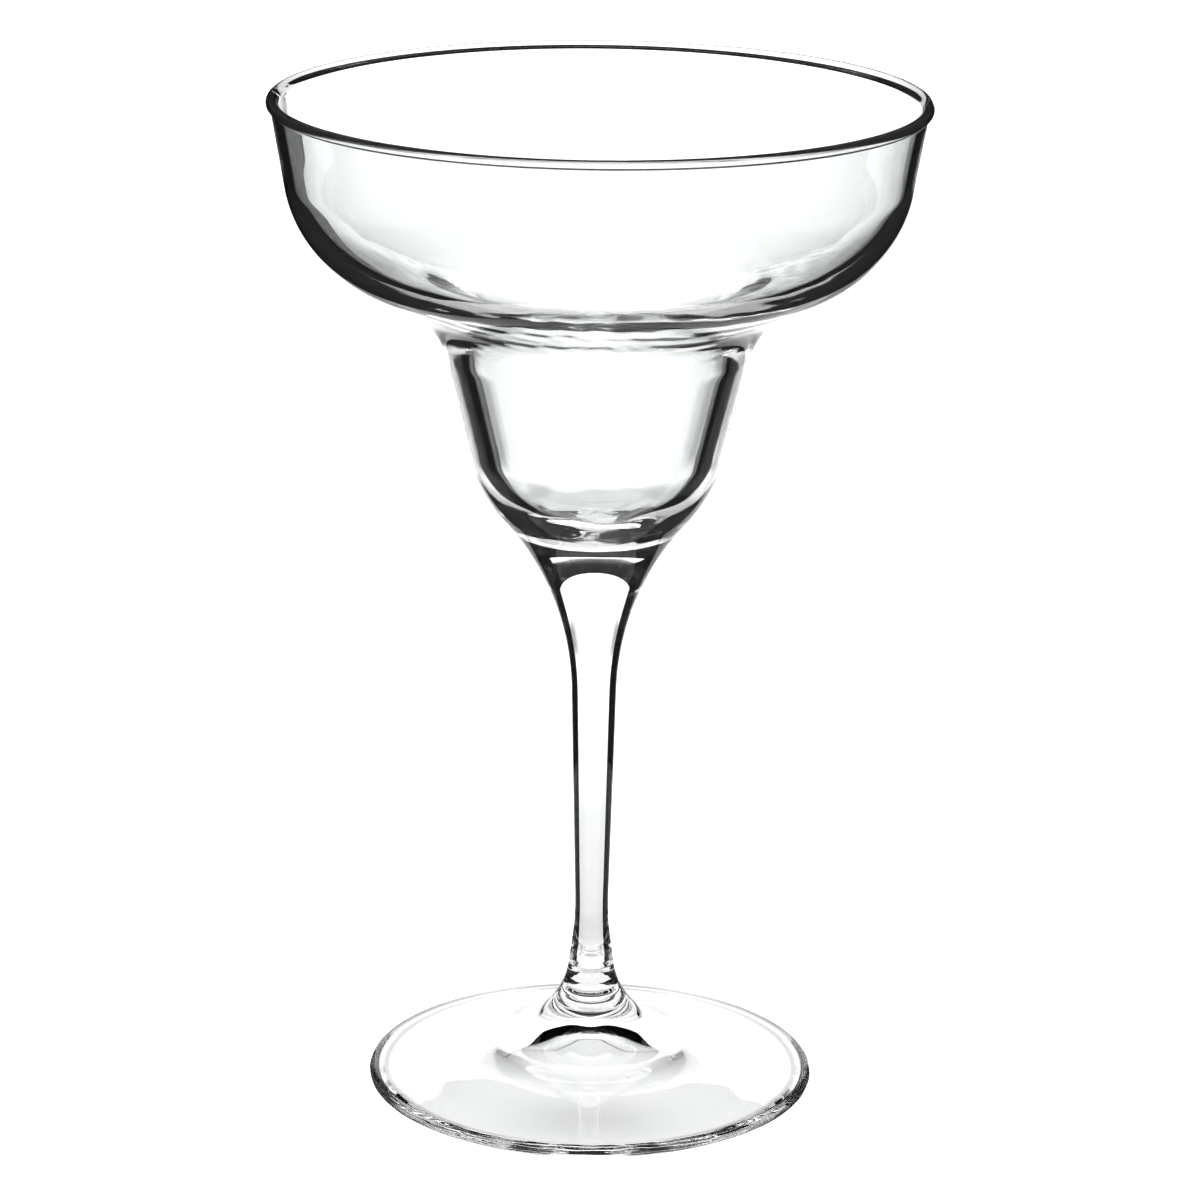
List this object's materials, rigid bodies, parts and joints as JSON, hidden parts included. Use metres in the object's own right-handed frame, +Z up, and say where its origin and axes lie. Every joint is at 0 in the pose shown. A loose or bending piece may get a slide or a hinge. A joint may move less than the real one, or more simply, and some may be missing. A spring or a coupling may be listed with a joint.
{
  "type": "margarita glass",
  "caption": "Clear stemmed cocktail glass with a wide beaded upper bowl stepped down to a narrow lower cup, on a slender solid stem and a round foot.",
  "frame": {"origin": "on the glass's axis, in the plane of the flat ring that the foot stands on", "axes": "+Z up along the axis of revolution, from the foot to the rim; +X to the right and -Y towards the viewer in the picture"},
  "size_m": [0.116, 0.116, 0.1825],
  "materials": {
    "clear_glass": "fire-polished gloss"
  },
  "bodies": {
    "root": {"bowl": "clear_glass", "stem": "clear_glass", "foot": "clear_glass"}
  },
  "joints": []
}
